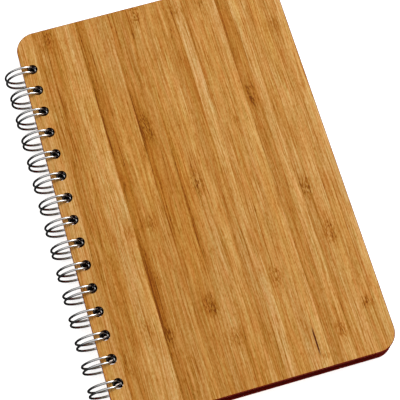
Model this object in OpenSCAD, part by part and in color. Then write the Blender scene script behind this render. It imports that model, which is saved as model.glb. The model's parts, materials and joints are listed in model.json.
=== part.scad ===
// Pocket notebook: two laminated bamboo covers and a block of loose paper leaves, threaded on a
// twin-loop binding wire. The book lies closed on a table: the underside of the wire and the
// fore-edge of the back cover both touch z = 0, so the whole book leans by about one degree.
// X runs from the spine to the fore-edge, Y runs up the page, Z is up. The origin is the centre
// of the footprint.

/* [Covers] */
// Width of a cover, spine edge to fore-edge
cover_w = 97.5; // [80:0.5:130]
// Length of a cover, foot to head
cover_l = 147; // [136:0.5:200]
// Thickness of a cover board
cover_t = 1.5; // [1:0.1:2]
// Radius of the cover's corners
corner_r = 7; // [3:0.5:12]

/* [Binding] */
// Number of twin loops, and of holes in every sheet
loops = 15; // [5:1:15]
// Distance from one loop to the next (three loops to the inch)
loop_pitch = 8.4667; // [8:0.0001:9]
// Outside diameter of the wire rings
ring_d = 12.6; // [12.2:0.1:13]
// Diameter of the wire
wire_d = 0.8; // [0.6:0.05:0.8]
// Distance between the two wires of one loop, centre to centre
twin_gap = 2; // [1.8:0.1:2.2]
// Radius of the bend from a loop into the link to the next loop
bend_r = 0.9; // [0.8:0.1:1]
// Diameter of the holes in the covers
cover_hole_d = 3.6; // [3.5:0.1:4]
// Diameter of the holes in the leaves
leaf_hole_d = 4; // [4:0.1:4.2]
// Distance from the hole line to the spine edge of a cover
cover_margin = 3.8; // [3.6:0.1:4.2]
// Distance from the hole line to the spine edge of a leaf
leaf_margin = 3.8; // [3.6:0.1:4.2]

/* [Leaves] */
// Number of leaves
leaves = 40; // [1:1:40]
// Thickness of one leaf
leaf_t = 0.1; // [0.05:0.01:0.1]
// Air between two leaves of the closed book
leaf_gap = 0.02; // [0.01:0.01:0.02]
// How far the covers stand past the leaves at the head, the foot and the fore-edge
overhang = 3; // [1:0.5:6]

/* [Hidden] */
// Overall thickness of the closed book
book_t = 9;
// Clearance between the first leaf and the wire links above it, under the front cover
link_gap = 0.15;
// Distance from the ring centre to the hole line of the covers and of the leaves
cover_hole_x = 4.3;
leaf_hole_x = 4.8;
// Angle round the ring, up from level, at which a twin loop closes into its round tip
tip_angle = 36.5;
// Angle at which the same wires leave the ring and bend into the links to the neighbouring loops
bend_angle = 15.5;

ring_r = (ring_d - wire_d) / 2;
half_t = book_t / 2;
link_z = ring_r * sin(bend_angle) + bend_r * cos(bend_angle);
leaf_top = link_z - wire_d / 2 - link_gap;
leaf_pitch = leaf_t + leaf_gap;
first_hole_y = -(loops - 1) * loop_pitch / 2;

cover_x = cover_hole_x - cover_margin;
fore_edge_x = cover_x + cover_w;
leaf_x = leaf_hole_x - leaf_margin;
leaf_w = fore_edge_x - overhang - leaf_x;
leaf_l = cover_l - 2 * overhang;
leaf_r = max(corner_r - overhang, 1);

// Lean of the book on the table, and where its ring centre then stands
lean = asin(ring_d / 2 / norm([fore_edge_x, half_t])) - atan(half_t / fore_edge_x);
footprint_right = fore_edge_x * cos(lean) + half_t * sin(lean);
ring_x = (ring_d / 2 - footprint_right) / 2;
ring_z = ring_d / 2;

bamboo = [0.80, 0.57, 0.31];
paper = [0.96, 0.95, 0.91];
silver = [0.78, 0.79, 0.80];

function leaf_name(i) = str("leaf_", i < 10 ? "0" : "", i);

$fn = 96;

// Puts a shape drawn round the ring centre where the book lies on the table
module on_table() {
  translate([ring_x, 0, ring_z]) rotate([0, lean, 0]) children();
}

// Copies a shape to every loop
module at_each_loop() {
  for (k = [0:loops - 1]) translate([0, first_hole_y + k * loop_pitch, 0]) children();
}

// Outline of a sheet with round corners, its spine edge at x and its middle at y = 0
module sheet_outline(x, w, l, r) {
  translate([x + r, -l / 2]) square([w - 2 * r, l]);
  translate([x, -l / 2 + r]) square([w, l - 2 * r]);
  for (cx = [x + r, x + w - r]) {
    for (cy = [-l / 2 + r, l / 2 - r]) translate([cx, cy]) circle(r);
  }
}

// A sheet of thickness t lying above z, with a hole for every loop
module punched_sheet(x, w, l, r, z, t, hole_x, hole_d) {
  translate([0, 0, z]) difference() {
    linear_extrude(t) sheet_outline(x, w, l, r);
    at_each_loop() translate([hole_x, 0, -t]) cylinder(h = 3 * t, d = hole_d);
  }
}

module cover(z) {
  color(bamboo) on_table()
    punched_sheet(cover_x, cover_w, cover_l, corner_r, z, cover_t, cover_hole_x, cover_hole_d);
}

module front_cover() {
  cover(half_t - cover_t);
}

module back_cover() {
  cover(-half_t);
}

// Leaf number i, counted from the front cover
module leaf(i) {
  z = leaf_top - i * leaf_pitch + leaf_gap;
  color(paper) on_table()
    punched_sheet(leaf_x, leaf_w, leaf_l, leaf_r, z, leaf_t, leaf_hole_x, leaf_hole_d);
}

// Part of a ring of wire of radius r round the z axis, over an angle. The seam is where the round
// section starts, as an angle from the outside of the ring. Seams meet where two stretches join.
module wire_arc(r, angle, seam) {
  rotate_extrude(angle = angle) translate([r, 0]) rotate(seam) circle(d = wire_d, $fn = 24);
}

// Turns a shape drawn at the ring's rightmost point up round the ring
module round_the_ring(angle) {
  rotate([0, -angle, 0]) translate([ring_r, 0, 0]) children();
}

// One of the two wires of a loop (side -1 or 1), from the tip round the spine to the bend
module ring_wire(side) {
  rotate([90, 0, 0]) rotate([0, 0, tip_angle])
    wire_arc(ring_r, 360 + bend_angle - tip_angle, -90 * side);
}

// The round tip that closes a twin loop
module tip() {
  round_the_ring(tip_angle) rotate([0, -90, 0]) rotate([0, 0, 90]) wire_arc(twin_gap / 2, 180, 0);
}

// The bend from the upper wire of a loop into the link
module bend() {
  round_the_ring(bend_angle) translate([0, twin_gap / 2 + bend_r, 0])
    rotate([0, 90, 0]) rotate([0, 0, 180]) wire_arc(bend_r, 90, 180);
}

// The straight link from one loop to the next
module link() {
  round_the_ring(bend_angle) translate([0, twin_gap / 2 + bend_r, bend_r]) rotate([-90, 90, 0])
    cylinder(h = loop_pitch - twin_gap - 2 * bend_r, d = wire_d, $fn = 24);
}

// One wire, bent into all the loops and cut off just past the first and the last bend
module binding_wire() {
  color(silver) on_table() {
    at_each_loop() {
      for (side = [-1, 1]) translate([0, side * twin_gap / 2, 0]) ring_wire(side);
      tip();
      bend();
      mirror([0, 1, 0]) bend();
    }
    for (k = [0:loops - 2]) translate([0, first_hole_y + k * loop_pitch, 0]) link();
  }
}

front_cover();
back_cover();
binding_wire();
for (i = [1:leaves]) leaf(i);
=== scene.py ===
"""Pocket notebook: bamboo covers, ivory leaves and a silver twin-loop wire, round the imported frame."""

import json
import math

import bpy
from mathutils import Matrix, Vector
from mathutils.geometry import tessellate_polygon


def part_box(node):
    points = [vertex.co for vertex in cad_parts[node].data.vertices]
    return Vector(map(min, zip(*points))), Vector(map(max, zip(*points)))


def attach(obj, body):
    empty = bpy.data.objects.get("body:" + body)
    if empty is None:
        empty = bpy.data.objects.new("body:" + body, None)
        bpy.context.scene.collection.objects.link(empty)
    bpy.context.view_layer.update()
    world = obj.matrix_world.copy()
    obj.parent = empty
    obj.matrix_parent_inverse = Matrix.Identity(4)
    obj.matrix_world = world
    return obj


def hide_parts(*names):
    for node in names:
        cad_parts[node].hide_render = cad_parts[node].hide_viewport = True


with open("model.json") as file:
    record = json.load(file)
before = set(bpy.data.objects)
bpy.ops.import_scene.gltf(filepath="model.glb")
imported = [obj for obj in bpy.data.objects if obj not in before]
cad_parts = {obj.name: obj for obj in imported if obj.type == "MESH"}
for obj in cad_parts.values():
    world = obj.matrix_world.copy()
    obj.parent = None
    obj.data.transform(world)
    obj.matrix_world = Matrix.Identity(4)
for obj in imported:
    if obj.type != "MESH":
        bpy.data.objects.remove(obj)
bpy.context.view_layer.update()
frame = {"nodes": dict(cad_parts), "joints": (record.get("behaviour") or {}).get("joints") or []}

MM = 0.001

# ---------------------------------------------------------------- sizes, all in the book's own frame
# The book leans a little on the table. Its own frame has its origin at the centre of the wire rings,
# x to the fore-edge, y up the page and z out of the front cover.

COVER_T = 1.5 * MM
CORNER_R = 7 * MM
HOLE_R = 1.8 * MM
LOOPS = 15
LOOP_PITCH = 8.4667 * MM
HOLE_LINE = 4.3 * MM
WIRE_R = 0.4 * MM
TWIN_GAP = 2 * MM
BEND_R = 0.9 * MM
TIP_ANGLE = math.radians(36.5)
BEND_ANGLE = math.radians(15.5)
# Radius of a cover's eased edges, and how far in proportion a hole's edge is eased
EASE = 0.22 * MM
HOLE_EASE = 0.3
LEAF_HOLE_R = 2 * MM
LEAF_HOLE_LINE = 4.8 * MM

cover_low, cover_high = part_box("front_cover")
back_low, back_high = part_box("back_cover")
ring_centre = Vector(frame["joints"][0]["pos_m"])
ring_r = ring_centre.z - WIRE_R
lean = math.asin((cover_high.z - cover_low.z - COVER_T) / (cover_high.x - cover_low.x))
BOOK = Matrix.Translation(ring_centre) @ Matrix.Rotation(lean, 4, "Y")

cover_l = cover_high.y - cover_low.y
half_t = ((cover_high.z - back_low.z) - (cover_high.z - cover_low.z - COVER_T)) / 2
# From the ring centre to the covers' spine edges
cover_x = 0.5 * MM
cover_w = (cover_high.x - cover_low.x - COVER_T * math.sin(lean)) / math.cos(lean)
loop_ys = [(k - (LOOPS - 1) / 2) * LOOP_PITCH for k in range(LOOPS)]


# ---------------------------------------------------------------- mesh helpers


def new_piece(name, verts, faces, matrix=None):
    """A mesh object from vertices and faces, placed by matrix."""
    mesh = bpy.data.meshes.new(name)
    mesh.from_pydata([tuple(v) for v in verts], [], faces)
    mesh.validate()
    mesh.update()
    piece = bpy.data.objects.new(name, mesh)
    bpy.context.scene.collection.objects.link(piece)
    if matrix is not None:
        piece.matrix_world = matrix
    return piece


def rounded_outline(x, w, l, r, inset, steps=14):
    """Points round a sheet with round corners, counter-clockwise, inset all round."""
    r = r - inset
    x0, x1 = x + inset + r, x + w - inset - r
    y0, y1 = -l / 2 + inset + r, l / 2 - inset - r
    corners = ((x1, y0, -90), (x1, y1, 0), (x0, y1, 90), (x0, y0, 180))
    points = []
    for cx, cy, start in corners:
        for s in range(steps + 1):
            a = math.radians(start + 90 * s / steps)
            points.append((cx + r * math.cos(a), cy + r * math.sin(a)))
    return points


def circle(cx, cy, r, steps=40):
    """Points round a circle, clockwise, so that it reads as a hole."""
    turns = [-2 * math.pi * s / steps for s in range(steps)]
    return [(cx + r * math.cos(a), cy + r * math.sin(a)) for a in turns]


def punched_sheet(name, x, w, l, r, z, t, hole_x, hole_r, ease):
    """A sheet with round corners and a row of holes, every edge eased by a small quarter round."""
    ease_steps = 4
    turns = [math.pi / 2 * s / ease_steps for s in range(ease_steps + 1)]
    top = [(ease * (1 - math.cos(a)), z + t - ease * (1 - math.sin(a))) for a in turns]
    low = [(inset, 2 * z + t - height) for inset, height in reversed(top)]
    verts, faces, layers = [], [], []
    for inset, height in low + top:
        loops = [rounded_outline(x, w, l, r, inset)]
        loops += [circle(hole_x, y, hole_r + inset * HOLE_EASE) for y in loop_ys]
        starts = []
        for loop in loops:
            starts.append(len(verts))
            verts += [(px, py, height) for px, py in loop]
        layers.append((starts, [len(loop) for loop in loops], loops))
    for (under, counts, _), (over, _, _) in zip(layers, layers[1:]):
        for a, b, n in zip(under, over, counts):
            faces += [(a + i, a + (i + 1) % n, b + (i + 1) % n, b + i) for i in range(n)]
    wall_faces = len(faces)
    for (starts, _, loops), up in ((layers[0], False), (layers[-1], True)):
        flat = [[Vector((px, py, 0)) for px, py in loop] for loop in loops]
        for tri in tessellate_polygon(flat):
            a, b, c = (verts[starts[0] + i] for i in tri)
            turn = (b[0] - a[0]) * (c[1] - a[1]) - (b[1] - a[1]) * (c[0] - a[0])
            order = tri if (turn > 0) == up else tri[::-1]
            faces.append(tuple(starts[0] + i for i in order))
    piece = new_piece(name, verts, faces, BOOK)
    for i, face in enumerate(piece.data.polygons):
        face.use_smooth = i < wall_faces
        face.material_index = 1 if i < wall_faces else 0
    return piece


def swept_wire(name, path, radius, sides=14):
    """A round wire along a path, with plain cut ends."""
    verts, faces = [], []
    tangents = []
    for i, p in enumerate(path):
        before, after = path[max(i - 1, 0)], path[min(i + 1, len(path) - 1)]
        tangents.append((after - before).normalized())
    normal = tangents[0].orthogonal().normalized()
    for p, tangent in zip(path, tangents):
        normal = (normal - tangent * normal.dot(tangent)).normalized()
        side = tangent.cross(normal)
        for s in range(sides):
            a = 2 * math.pi * s / sides
            verts.append(p + radius * (math.cos(a) * normal + math.sin(a) * side))
    for i in range(len(path) - 1):
        a, b = i * sides, (i + 1) * sides
        faces += [(a + s, a + (s + 1) % sides, b + (s + 1) % sides, b + s) for s in range(sides)]
    last = (len(path) - 1) * sides
    faces.append(tuple(reversed(range(sides))))
    faces.append(tuple(last + s for s in range(sides)))
    piece = new_piece(name, verts, faces, BOOK)
    for face in piece.data.polygons:
        face.use_smooth = len(face.vertices) == 4
    return piece


# ---------------------------------------------------------------- the wire's route


def arc_steps(low, high, step_deg):
    """Angles from low to high, both ends in, no further apart than step_deg."""
    n = max(2, math.ceil(abs(math.degrees(high - low)) / step_deg))
    return [low + (high - low) * i / n for i in range(n + 1)]


def out(a):
    """From the ring centre to an angle round the ring."""
    return Vector((math.cos(a), 0, math.sin(a)))


def along(a):
    """The way the ring runs at an angle round it."""
    return Vector((-math.sin(a), 0, math.cos(a)))


def wire_route():
    """One wire through every loop: bend, ring, tip, ring, bend, link, and on to the next loop."""
    up_page = Vector((0, 1, 0))
    end = BEND_ANGLE + 2 * math.pi
    ring = arc_steps(TIP_ANGLE, end, 4)
    route = []
    for y in loop_ys:
        middle = Vector((0, y, 0))
        bend_at = middle + ring_r * out(BEND_ANGLE)
        side = (TWIN_GAP / 2 + BEND_R) * up_page
        loop = []
        for a in arc_steps(math.pi / 2, 0, 15):
            turn = math.cos(a) * up_page + math.sin(a) * along(BEND_ANGLE)
            loop.append(bend_at - side + BEND_R * turn)
        near = middle - TWIN_GAP / 2 * up_page
        loop += [near + ring_r * out(a) for a in reversed(ring[:-1])]
        tip_at = middle + ring_r * out(TIP_ANGLE)
        for a in arc_steps(0, math.pi, 12)[1:-1]:
            turn = -math.cos(a) * up_page - math.sin(a) * along(TIP_ANGLE)
            loop.append(tip_at + TWIN_GAP / 2 * turn)
        far = middle + TWIN_GAP / 2 * up_page
        loop += [far + ring_r * out(a) for a in ring[:-1]]
        for a in arc_steps(0, math.pi / 2, 15):
            turn = -math.cos(a) * up_page + math.sin(a) * along(BEND_ANGLE)
            loop.append(bend_at + side + BEND_R * turn)
        route += loop
    return route


# ---------------------------------------------------------------- shader helpers


def linear(r, g, b):
    """A colour given as it looks on screen, 0 to 255, as linear light."""
    shown = (c / 255 for c in (r, g, b))
    return tuple(((c + 0.055) / 1.055) ** 2.4 if c > 0.04 else c / 12.92 for c in shown) + (1,)


# How much brighter than its base colour a level matt surface shows under the lamps
LAMPS = 1.085


def lit(r, g, b):
    """The base colour that looks like this, 0 to 255, on a level surface under the lamps."""
    red, green, blue, _ = linear(r, g, b)
    return (red / LAMPS, green / LAMPS, blue / LAMPS, 1)


# A Mix node's two colour inputs and its colour output
MIX_A, MIX_B, MIX_OUT = 6, 7, 2


class Shader:
    """A material and short ways to add nodes to it."""

    def __init__(self, name):
        self.material = bpy.data.materials.new(name)
        self.material.use_nodes = True
        self.tree = self.material.node_tree
        self.surface = self.tree.nodes["Principled BSDF"]

    def put(self, socket, value):
        if isinstance(value, bpy.types.NodeSocket):
            self.tree.links.new(value, socket)
        elif value is not None:
            socket.default_value = value

    def add(self, kind, *inputs, out=0, **settings):
        node = self.tree.nodes.new("ShaderNode" + kind)
        for key, value in settings.items():
            setattr(node, key, value)
        for socket, value in zip(node.inputs, inputs):
            self.put(socket, value)
        return node.outputs[out]

    def math(self, operation, a, b=None):
        return self.add("Math", a, b, operation=operation)

    def vector(self, operation, a, b=None):
        out = "Value" if operation in ("DISTANCE", "LENGTH", "DOT_PRODUCT") else "Vector"
        return self.add("VectorMath", a, b, operation=operation, out=out)

    def ramp(self, value, low, high, to_low=0.0, to_high=1.0):
        """value from low to high, eased, as to_low to to_high."""
        node = self.tree.nodes.new("ShaderNodeMapRange")
        node.interpolation_type = "SMOOTHSTEP"
        for key, v in zip(("Value", "From Min", "From Max", "To Min", "To Max"),
                          (value, low, high, to_low, to_high)):
            self.put(node.inputs[key], v)
        return node.outputs["Result"]

    def noise(self, vector, detail, roughness):
        node = self.tree.nodes.new("ShaderNodeTexNoise")
        self.put(node.inputs["Vector"], vector)
        for key, v in zip(("Scale", "Detail", "Roughness"), (1, detail, roughness)):
            node.inputs[key].default_value = v
        return node.outputs["Fac"]

    def mix(self, factor, a, b, blend="MIX"):
        node = self.tree.nodes.new("ShaderNodeMix")
        node.data_type = "RGBA"
        node.blend_type = blend
        self.put(node.inputs[0], factor)
        self.put(node.inputs[MIX_A], a)
        self.put(node.inputs[MIX_B], b)
        return node.outputs[MIX_OUT]

    def split(self, vector):
        node = self.tree.nodes.new("ShaderNodeSeparateXYZ")
        self.put(node.inputs[0], vector)
        return node.outputs

    def object_mm(self):
        """The place on the piece in millimetres, in its own frame."""
        place = self.add("TexCoord", out="Object")
        return self.vector("MULTIPLY", place, (1000, 1000, 1000))

    def bump(self, height, strength, distance):
        node = self.tree.nodes.new("ShaderNodeBump")
        node.inputs["Strength"].default_value = strength
        node.inputs["Distance"].default_value = distance
        self.put(node.inputs["Height"], height)
        self.put(self.surface.inputs["Normal"], node.outputs["Normal"])

    def finish(self, **values):
        for key, value in values.items():
            self.put(self.surface.inputs[key.replace("_", " ")], value)
        return self.material


# ---------------------------------------------------------------- bamboo

# The wood's colours from the darkest fibre to the palest, as the lamps show them
WOOD = ((0.0, (118, 58, 2)), (0.22, (155, 93, 17)), (0.48, (177, 118, 47)), (0.7, (197, 144, 76)),
        (1.0, (224, 180, 116)))

# The laminated strips from the spine to the fore-edge: width in mm, and how light on that scale
STRIPS = (
    (6.5, 0.71), (4, 0.58), (4.5, 0.62), (7.5, 0.74), (3.5, 0.47), (8.8, 0.65), (5.2, 0.57),
    (3, 0.62), (4, 0.68), (7.6, 0.70), (3.9, 0.63), (3.5, 0.79), (4.5, 0.68), (3.5, 0.70),
    (4, 0.77), (4.5, 0.57), (3.5, 0.76), (3.5, 0.64), (4.5, 0.75), (3.5, 0.68), (4, 0.79),
)

# Dark fibres and glue lines: mm from the spine, from and to in mm below the head, width, depth
DARK_LINES = (
    (6.7, -5, 150, 0.4, 0.16), (10.8, -5, 60, 0.4, 0.14), (13.2, -5, 24, 0.5, 0.12),
    (23.0, -5, 150, 0.5, 0.15), (23.1, 92, 124, 0.5, 0.34), (24.6, 10, 60, 0.4, 0.12),
    (35.0, 12, 130, 0.6, 0.24), (39.2, 5, 48, 0.8, 0.18), (43.1, 50, 104, 0.8, 0.24),
    (46.8, 8, 34, 0.5, 0.16), (54.6, -5, 150, 0.4, 0.10), (58.1, -5, 150, 0.5, 0.18),
    (66.2, 50, 150, 0.5, 0.14), (70.2, 12, 62, 0.4, 0.20), (85.3, 8, 150, 0.5, 0.20),
    (93.5, 12, 138, 0.5, 0.20), (82.1, 60, 100, 0.4, 0.14), (28.8, 60, 80, 0.3, 0.12),
    (62.4, -5, 40, 0.4, 0.12), (88.4, 30, 120, 0.35, 0.14), (80.6, 84, 140, 0.4, 0.12),
)

# Strips that darken towards their spine side: mm from the spine, from and to below the head,
# width and depth
DARK_SIDES = (
    (22.7, 80, 128, 3.2, 0.26), (22.7, -5, 80, 2.0, 0.04), (34.8, 24, 62, 4.6, 0.13),
    (43, 60, 118, 3.0, 0.12), (54.3, -5, 150, 3.6, 0.05), (74.2, -5, 54, 4.2, 0.16),
    (11, 60, 130, 3.6, 0.08), (87.5, 90, 132, 3.0, 0.08), (40.8, 96, 122, 4.0, 0.10),
    (7, 116, 150, 3.0, 0.08), (59, 100, 122, 4.0, 0.05),
)

# Nodes of the cane: mm from the spine and below the head, half width, half length and depth
CANE_NODES = (
    (12.6, 4, 2.6, 7, 0.8), (44.6, 3, 2.8, 6, 1.0), (59.5, 5, 2.8, 5, 0.6), (69, 6, 2.2, 5, 0.6),
    (92, 21, 2.6, 4, 0.6), (37, 48, 3.0, 8, 0.9), (76.6, 45, 2.2, 6, 1.1), (68, 53, 1.8, 2.5, 0.5),
    (48.6, 72, 3.4, 6, 0.8), (28.6, 82, 3.2, 4, 0.7), (20.8, 83, 2.2, 4, 0.5), (84.4, 84, 2.6, 5, 1.1),
    (12, 92, 1.6, 6, 0.4), (64.8, 112, 2.8, 5, 0.8), (41, 116, 3.0, 5, 0.9), (24.6, 122, 2.2, 4, 1.1),
    (17, 118, 2.4, 5, 0.6), (8.8, 129, 2.2, 5, 0.6), (45.6, 129, 3.0, 4, 0.8), (92, 129, 2.8, 3, 1.0),
    (80.4, 136, 2.4, 4, 0.9), (72.6, 143, 2.0, 2, 0.7), (87.6, 102, 2.8, 6, 0.8),
    (33.4, 56, 1.6, 4, 0.6),
)

# The fine crack near the foot of the front cover: mm from the spine, from and to below the head, width
CRACK = (70.9, 131.5, 143.5, 0.42)

# A yellower patch: its middle, in mm from the spine and below the head, and its half width and length
PATCH_AT = (36, 74)
PATCH_HALF = (24, 50)

# The covers' inner faces lie within this height above and below the middle of the book, in mm. They carry
# painted shade, a dark maroon for the shadow between the covers, full strength up to the first distance
# from the rim, and not at all past the second.
INNER_FACE = (half_t - COVER_T) / MM + 0.05
INNER_RIM_SHADE = (2, 5.5)


def board_place(sh, turned):
    """(across, down, through) a cover in mm, from its spine edge and its head edge."""
    x, y, z = sh.split(sh.object_mm())
    across = sh.math("SUBTRACT", x, cover_x / MM)
    down = sh.math("SUBTRACT", cover_l / 2 / MM, y)
    if turned:
        across = sh.math("SUBTRACT", cover_w / MM, across)
        down = sh.math("SUBTRACT", cover_l / MM, down)
    return across, down, z


def from_rim(sh, across, down):
    """How far a place is in from the outline of a cover, in mm."""
    r = CORNER_R / MM
    offs = []
    for place, size in ((across, cover_w / MM), (down, cover_l / MM)):
        off = sh.math("ABSOLUTE", sh.math("SUBTRACT", place, size / 2))
        offs.append(sh.math("SUBTRACT", off, size / 2 - r))
    past = sh.add("CombineXYZ", *[sh.math("MAXIMUM", off, 0) for off in offs], 0.0)
    within = sh.math("MINIMUM", sh.math("MAXIMUM", *offs), 0)
    return sh.math("SUBTRACT", r, sh.math("ADD", sh.vector("LENGTH", past), within))


def patch_distance(sh, place, middle, half):
    """How far a place is from the middle of an oval patch: 0 there, and 1 on its outline."""
    scaled = sh.vector("MULTIPLY", place, (1 / half[0], 1 / half[1], 0))
    return sh.vector("DISTANCE", scaled, (middle[0] / half[0], middle[1] / half[1], 0))


def strip_at(sh, across):
    """(tone, mm from the strip's own edge, seed) of the strip at a place, with hard joints."""
    node = sh.tree.nodes.new("ShaderNodeValToRGB")
    node.color_ramp.interpolation = "CONSTANT"
    stops = node.color_ramp.elements
    total = sum(width for width, _ in STRIPS)
    edge = 0
    for i, (width, tone) in enumerate(STRIPS):
        stop = stops[i] if i < 2 else stops.new(edge / total)
        stop.position = edge / total
        stop.color = (tone, edge / total, (i * 0.37) % 1, 1)
        edge += width
    part = sh.math("DIVIDE", across, total)
    sh.put(node.inputs[0], part)
    tone, start, seed = sh.split(node.outputs[0])
    inside = sh.math("MULTIPLY", sh.math("SUBTRACT", part, start), total)
    return tone, inside, sh.math("MULTIPLY", seed, 50)


def wood_colour(sh, tone):
    """The colour of the wood for how light it is."""
    node = sh.tree.nodes.new("ShaderNodeValToRGB")
    stops = node.color_ramp.elements
    for i, (at, colour) in enumerate(WOOD):
        stop = stops[i] if i < 2 else stops.new(at)
        stop.position = at
        stop.color = lit(*colour)
    sh.put(node.inputs[0], tone)
    return node.outputs[0]


def bamboo(name, turned, seed):
    """A laminated bamboo board, oiled. turned is for a board cut from the strips' other end."""
    sh = Shader(name)
    across, down, through = board_place(sh, turned)
    tone, inside, strip_seed = strip_at(sh, across)
    strip_seed = sh.math("ADD", strip_seed, seed)

    def grain(width, length, depth, detail, roughness, wobble=None):
        """Noise drawn out along the strips, about 0: one streak is about width by length mm."""
        u = across if wobble is None else sh.math("ADD", across, wobble)
        place = sh.add("CombineXYZ", sh.math("DIVIDE", u, width), sh.math("DIVIDE", down, length),
                       sh.math("ADD", sh.math("DIVIDE", through, depth), strip_seed))
        return sh.math("SUBTRACT", sh.noise(place, detail, roughness), 0.5)

    def plus(a, b, times):
        return sh.add("Math", b, times, a, operation="MULTIPLY_ADD")

    sway = sh.math("MULTIPLY", grain(12, 34, 20, 1, 0.4), 1.7)
    wavy = sh.math("ADD", across, sh.math("MULTIPLY", sway, 0.18))

    def stretch(v_from, v_to):
        """1 between two places down the board, fading out at each end."""
        off = sh.math("ABSOLUTE", sh.math("SUBTRACT", down, (v_from + v_to) / 2))
        half = (v_to - v_from) / 2
        return sh.ramp(off, half - min(14, half * 0.6), half, 1, 0)

    def line(u, v_from, v_to, width, depth):
        """A thin line along the board, from one place to another."""
        off = sh.math("ABSOLUTE", sh.math("SUBTRACT", wavy, u))
        return sh.math("MULTIPLY", sh.ramp(off, width * 0.2, width, depth, 0), stretch(v_from, v_to))

    def side(u, v_from, v_to, width, depth):
        """A darkening that starts sharply at a joint and fades out over a width."""
        off = sh.math("SUBTRACT", wavy, u)
        fade = sh.math("MULTIPLY", sh.ramp(off, -0.15, 0.05), sh.ramp(off, 0, width, depth, 0))
        return sh.math("MULTIPLY", fade, stretch(v_from, v_to))

    def greatest(values):
        most = values[0]
        for value in values[1:]:
            most = sh.math("MAXIMUM", most, value)
        return most

    cloud = grain(6, 44, 6, 2, 0.5)
    band = grain(1.2, 60, 1.5, 2, 0.5, sway)
    streak = grain(0.6, 28, 0.8, 1, 0.5, sway)
    fibre = grain(0.42, 9, 0.5, 1, 0.5, sway)
    dash = grain(0.5, 2.4, 0.5, 1, 0.4, sway)
    pore = grain(0.5, 0.9, 0.4, 0, 0.5)
    pin = grain(0.26, 18, 0.4, 1, 0.5, sway)
    pinstripe = grain(0.7, 70, 0.9, 0, 0.5, sway)
    stroke = grain(0.36, 1.5, 0.5, 0, 0.5, sway)
    hue = grain(7, 60, 8, 2, 0.5)

    place = sh.add("CombineXYZ", sh.math("ADD", across, sway), down, 0.0)
    rings = []
    for u, v, half_w, half_l, depth in CANE_NODES:
        off = patch_distance(sh, place, (u, v), (half_w, half_l))
        rings.append(sh.ramp(off, 0.25, 1.2, depth, 0))
    in_node = greatest(rings)
    dark_lines = greatest([line(*values) for values in DARK_LINES])
    dark_sides = greatest([side(*values) for values in DARK_SIDES])

    layers = (
        (sh.ramp(inside, 0, 3, -0.05, 0.01), 1), (cloud, 0.24), (band, 0.12), (streak, 0.34),
        (fibre, 0.53), (pore, 0.26), (sh.ramp(pin, 0.02, 0.14), -0.23),
        (sh.ramp(pinstripe, 0.08, 0.16), -0.11), (sh.ramp(dash, 0.06, 0.2), -0.15),
        (sh.math("MULTIPLY", dark_lines, sh.ramp(streak, -0.2, 0.1, 1.2, 0.5)), -1),
        (sh.math("MULTIPLY", dark_sides, sh.ramp(band, -0.2, 0.15, 1.2, 0.6)), -1),
        (sh.math("MULTIPLY", in_node, sh.ramp(stroke, -0.02, 0.07)), -0.37), (in_node, -0.07),
    )
    for layer, weight in layers:
        tone = plus(tone, layer, weight)
    off_patch = patch_distance(sh, place, PATCH_AT, PATCH_HALF)
    yellow = sh.ramp(off_patch, 0.2, 1, 0.37, 0.5)
    tint = sh.mix(sh.math("ADD", hue, yellow), (1, 0.88, 0.45, 1), (1, 1.12, 1.55, 1))
    colour = sh.mix(1.0, wood_colour(sh, tone), tint, "MULTIPLY")
    blush = sh.math("ADD", grain(1.0, 10, 1, 2, 0.6, sway), 0.5)
    flush = sh.mix(blush, (1.08, 0.8, 0.72, 1), (0.92, 1.2, 1.28, 1))
    colour = sh.mix(1.0, colour, flush, "MULTIPLY")
    if not turned:
        colour = sh.mix(line(*CRACK, 1.0), colour, linear(66, 5, 0))
    # Painted shade: the inner faces turn dark maroon towards the rim, for the shadow between the covers
    inner_face = sh.ramp(sh.math("ABSOLUTE", through), INNER_FACE, INNER_FACE + 0.1, 1, 0)
    inner_rim_shade = sh.math("MULTIPLY", inner_face, sh.ramp(from_rim(sh, across, down), *INNER_RIM_SHADE, 1, 0))
    colour = sh.mix(inner_rim_shade, colour, linear(88, 9, 2))
    height = plus(sh.math("MULTIPLY", streak, 0.6), fibre, 0.4)
    height = plus(height, dark_lines, -0.8)
    sh.bump(height, 0.3, 0.05 * MM)
    dull = sh.ramp(fibre, -0.2, 0.2, 0.42, 0.58)
    return sh.finish(Base_Color=colour, Roughness=dull, Specular_IOR_Level=0.06)


# How far past a cover's holes, in mm, the painted shade on their walls fades out
HOLE_WALL_SHADE_FADE = 0.5


def bamboo_edge(name, seed):
    """The sawn and scorched edge of a bamboo board with the ends of its fibres, and painted black shade in
    its holes.
    """
    sh = Shader(name)
    place = sh.vector("ADD", sh.object_mm(), (seed, seed, seed))
    fibres = sh.noise(sh.vector("MULTIPLY", place, (1.4, 1.4, 9)), 3, 0.6)
    pores = sh.noise(sh.vector("MULTIPLY", place, (5, 5, 7)), 2, 0.6)
    colour = sh.mix(sh.ramp(fibres, 0.3, 0.7), linear(86, 5, 1), linear(126, 22, 5))
    colour = sh.mix(sh.ramp(pores, 0.55, 0.7, 0, 0.6), colour, linear(42, 4, 1))
    # Painted shade: near black inside the holes, fading out past them
    x = sh.split(sh.object_mm())[0]
    reach = (HOLE_R + HOLE_EASE * EASE) / MM
    off_line = sh.math("ABSOLUTE", sh.math("SUBTRACT", x, HOLE_LINE / MM))
    hole_shade = sh.ramp(off_line, reach, reach + HOLE_WALL_SHADE_FADE, 0.85, 0)
    colour = sh.mix(hole_shade, colour, linear(20, 8, 5))
    sh.bump(sh.math("ADD", fibres, pores), 0.4, 0.05 * MM)
    dull = sh.ramp(pores, 0.3, 0.7, 0.6, 0.8)
    return sh.finish(Base_Color=colour, Roughness=dull, Specular_IOR_Level=0.03)


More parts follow.
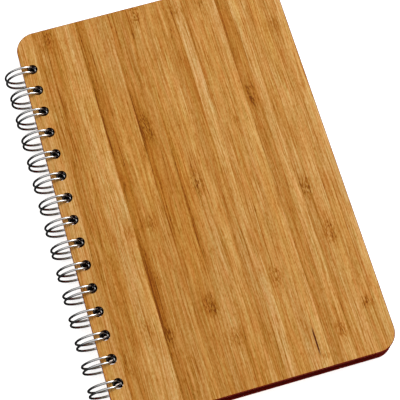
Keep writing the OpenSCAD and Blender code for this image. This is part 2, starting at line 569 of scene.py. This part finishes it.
# ---------------------------------------------------------------- paper and wire

# The ruled lines: how far apart and how wide, and how far above the middle of the page they end, in mm
RULE_SPACING = 6.5
RULE_WIDTH = 0.16
HEAD_MARGIN = 57.0

# The leaves carry painted shade round each hole and nearly black painted shade inside each hole, fading
# out over these distances in mm
HOLE_SHADE_RING = 0.9
LEAF_WALL_SHADE_FADE = 0.6

# The leaves' edges carry painted shade for the gaps between leaves, deepest at their spine edges: full
# strength to the first distance from the ring centre, and none past the second, in mm
SPINE_EDGE_SHADE = (4, 8)

# Added to a place on the page, in spacings, so that a repeating pattern starts below the foot
PATTERN_START = 200


def from_row(sh, y, spacing):
    """How far a place up the page is from the nearest row of a repeating pattern, in mm."""
    return sh.math("PINGPONG", sh.math("ADD", y, PATTERN_START * spacing), spacing / 2)


def ruled_paper():
    """Uncoated ivory paper with pale ruled lines on both faces, painted shade on its edges, and painted
    shade nearly black round and in its holes.
    """
    sh = Shader("ivory_paper")
    reach = LEAF_HOLE_R / MM
    place = sh.object_mm()
    x, y, _ = sh.split(place)
    mottle = sh.noise(sh.vector("MULTIPLY", place, (0.12, 0.12, 3)), 3, 0.6)
    tooth = sh.noise(sh.vector("MULTIPLY", place, (7, 7, 7)), 3, 0.7)
    colour = sh.mix(sh.ramp(mottle, 0.3, 0.7), linear(243, 236, 217), linear(247, 241, 224))
    colour = sh.mix(sh.ramp(tooth, 0.35, 0.7, 0, 0.16), colour, linear(230, 221, 201))
    on_rule = sh.ramp(from_row(sh, y, RULE_SPACING), RULE_WIDTH / 2, RULE_WIDTH, 0.55, 0)
    below_head = sh.ramp(y, HEAD_MARGIN, HEAD_MARGIN + 0.1, 1, 0)
    facing = sh.math("ABSOLUTE", sh.split(sh.add("TexCoord", out="Normal"))[2])
    on_face = sh.ramp(facing, 0.7, 0.9)
    rule = sh.math("MULTIPLY", sh.math("MULTIPLY", on_rule, below_head), on_face)
    colour = sh.mix(rule, colour, linear(150, 160, 176))
    # Painted shade: the leaves' edges are greyed for the gaps between leaves, deeper near the spine
    near, far = (ring_centre.x / MM + past for past in SPINE_EDGE_SHADE)
    edge_shade_colour = sh.mix(sh.ramp(x, near, far), linear(146, 138, 124), linear(196, 186, 164))
    colour = sh.mix(on_face, edge_shade_colour, colour)
    off_x = sh.math("SUBTRACT", x, (ring_centre.x + LEAF_HOLE_LINE) / MM)
    off_y = from_row(sh, y, LOOP_PITCH / MM)
    from_hole = sh.vector("LENGTH", sh.add("CombineXYZ", off_x, off_y, 0.0))
    # Painted shade: a dark ring round each hole on the leaves' faces
    ring = sh.ramp(from_hole, reach, reach + HOLE_SHADE_RING, 0.92, 0)
    colour = sh.mix(ring, colour, linear(44, 38, 33))
    # Painted shade: near black inside the holes
    on_wall = sh.ramp(on_face, 0, 1, 1, 0)
    hole_shade = sh.math("MULTIPLY", on_wall, sh.ramp(from_hole, reach, reach + LEAF_WALL_SHADE_FADE, 1, 0))
    colour = sh.mix(hole_shade, colour, linear(30, 26, 23))
    sh.bump(tooth, 0.25, 0.02 * MM)
    dull = sh.ramp(tooth, 0.3, 0.7, 0.78, 0.92)
    return sh.finish(Base_Color=colour, Roughness=dull, Specular_IOR_Level=0.3)


def bright_wire():
    """Bright plated steel wire with fine drawing marks and a little tarnish."""
    sh = Shader("bright_wire")
    place = sh.object_mm()
    tarnish = sh.noise(sh.vector("MULTIPLY", place, (0.5, 0.5, 0.5)), 3, 0.6)
    marks = sh.noise(sh.vector("MULTIPLY", place, (3, 14, 3)), 3, 0.7)
    colour = sh.mix(sh.ramp(tarnish, 0.35, 0.7), linear(210, 209, 208), linear(188, 186, 185))
    sh.bump(marks, 0.15, 0.01 * MM)
    return sh.finish(Base_Color=colour, Metallic=1.0, Roughness=sh.ramp(marks, 0.3, 0.7, 0.14, 0.22))


# ---------------------------------------------------------------- the pieces


def make_cover(node, z, turned, seed):
    """A bamboo board in place of a CAD cover, its underside at z."""
    piece = punched_sheet(node + "_board", cover_x, cover_w, cover_l, CORNER_R, z, COVER_T,
                          HOLE_LINE, HOLE_R, EASE)
    piece.data.materials.append(bamboo(node + "_bamboo", turned, seed))
    piece.data.materials.append(bamboo_edge(node + "_edge", seed))
    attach(piece, node)
    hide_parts(node)


def make_wire():
    """The binding wire, one wire from end to end."""
    piece = swept_wire("twin_loop_wire", wire_route(), WIRE_R)
    piece.data.materials.append(bright_wire())
    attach(piece, "binding_wire")
    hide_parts("binding_wire")


def paint_leaves():
    """Gives the CAD leaves their paper. They are true sheets already, and keep their meshes."""
    paper = ruled_paper()
    for name, node in frame["nodes"].items():
        if name.startswith("leaf_"):
            node.data.materials.clear()
            node.data.materials.append(paper)


make_cover("front_cover", half_t - COVER_T, False, 0)
make_cover("back_cover", -half_t, True, 40)
make_wire()
paint_leaves()


# ---------------------------------------------------------------- stage, light and camera

# The point that the camera looks at and how far off it is, how steeply it looks down, how far it is turned
# from straight up the page, how far it leans over, and its lens and sensor width in mm
CAMERA_AIM = Vector((2.4, -5.2, 9.9)) * MM
CAMERA_DISTANCE = 450.9 * MM
CAMERA_ELEVATION = math.radians(70.8)
CAMERA_TURN = math.radians(13.1)
CAMERA_ROLL = math.radians(-3.3)
CAMERA_LENS = 117.24
CAMERA_SENSOR = 36

FLOOR_HALF = 3.0
# How brightly the floor glows by itself, so that it stays pale under the book's shadow
FLOOR_GLOW = 0.62

# Brightness of the overhead light by height, from level (0) to straight up (1)
SKY = ((0.2, 0.03), (0.95, 1.4), (0.4, 0.45), (0.7, 1.0))
SKY_STRENGTH = 0.77
# Brightness of the backdrop that only the camera sees
BACKDROP = 1.1


def make_camera():
    """A long lens, high above the foot of the book and a little to its left."""
    look = Vector((math.sin(CAMERA_TURN), math.cos(CAMERA_TURN), 0)) * math.cos(CAMERA_ELEVATION)
    look.z = -math.sin(CAMERA_ELEVATION)
    level = look.cross(Vector((0, 0, 1))).normalized()
    above = level.cross(look)
    right = level * math.cos(CAMERA_ROLL) + above * math.sin(CAMERA_ROLL)
    up = right.cross(look)
    data = bpy.data.cameras.new("camera")
    data.lens = CAMERA_LENS
    data.sensor_width = CAMERA_SENSOR
    data.clip_start = 0.01
    data.clip_end = 20
    camera = bpy.data.objects.new("camera", data)
    bpy.context.scene.collection.objects.link(camera)
    turn = Matrix((right, up, -look)).transposed().to_4x4()
    camera.matrix_world = Matrix.Translation(CAMERA_AIM - look * CAMERA_DISTANCE) @ turn
    bpy.context.scene.camera = camera


def make_floor():
    """A plain pale floor that glows a little. Reflections see it dark, which outlines the wires."""
    size = FLOOR_HALF
    corners = [(-size, -size, 0), (size, -size, 0), (size, size, 0), (-size, size, 0)]
    floor = new_piece("floor", corners, [(0, 1, 2, 3)])
    sh = Shader("pale_floor")
    speck = sh.noise(sh.vector("MULTIPLY", sh.object_mm(), (0.02, 0.02, 0.02)), 2, 0.5)
    colour = sh.mix(speck, linear(246, 246, 245), linear(250, 250, 249))
    glossy = sh.add("LightPath", out="Is Glossy Ray")
    colour = sh.mix(glossy, colour, linear(30, 30, 32))
    glow = sh.ramp(glossy, 0, 1, FLOOR_GLOW, 0)
    floor.data.materials.append(sh.finish(Base_Color=colour, Roughness=0.9, Specular_IOR_Level=0.1,
                                          Emission_Color=(1, 1, 1, 1), Emission_Strength=glow))


def area_light(name, place, size, power):
    """A soft square light aimed at the book."""
    data = bpy.data.lights.new(name, "AREA")
    data.size = size
    data.energy = power
    light = bpy.data.objects.new(name, data)
    bpy.context.scene.collection.objects.link(light)
    light.location = place
    light.rotation_euler = (-Vector(place)).to_track_quat("-Z", "Y").to_euler()


def make_world():
    """A large soft light overhead, dark walls, and a pale backdrop that only the camera sees."""
    world = bpy.data.worlds.new("studio")
    bpy.context.scene.world = world
    world.use_nodes = True
    tree = world.node_tree
    place = tree.nodes.new("ShaderNodeTexCoord")
    split = tree.nodes.new("ShaderNodeSeparateXYZ")
    ramp = tree.nodes.new("ShaderNodeValToRGB")
    stops = ramp.color_ramp.elements
    for i, (height, bright) in enumerate(SKY):
        stop = stops[i] if i < 2 else stops.new(height)
        stop.position, stop.color = height, (bright, bright, bright, 1)
    tree.links.new(place.outputs["Generated"], split.inputs[0])
    tree.links.new(split.outputs[2], ramp.inputs[0])
    seen = tree.nodes.new("ShaderNodeLightPath")
    backdrop = tree.nodes.new("ShaderNodeMix")
    backdrop.data_type = "RGBA"
    backdrop.inputs[MIX_B].default_value = (BACKDROP, BACKDROP, BACKDROP, 1)
    tree.links.new(seen.outputs["Is Camera Ray"], backdrop.inputs[0])
    tree.links.new(ramp.outputs[0], backdrop.inputs[MIX_A])
    background = tree.nodes["Background"]
    tree.links.new(backdrop.outputs[MIX_OUT], background.inputs["Color"])
    background.inputs["Strength"].default_value = SKY_STRENGTH


make_camera()
make_floor()
make_world()
area_light("key", place=(0.95, 0.65, 0.95), size=0.8, power=16.7)
bpy.context.scene.view_settings.view_transform = "Standard"
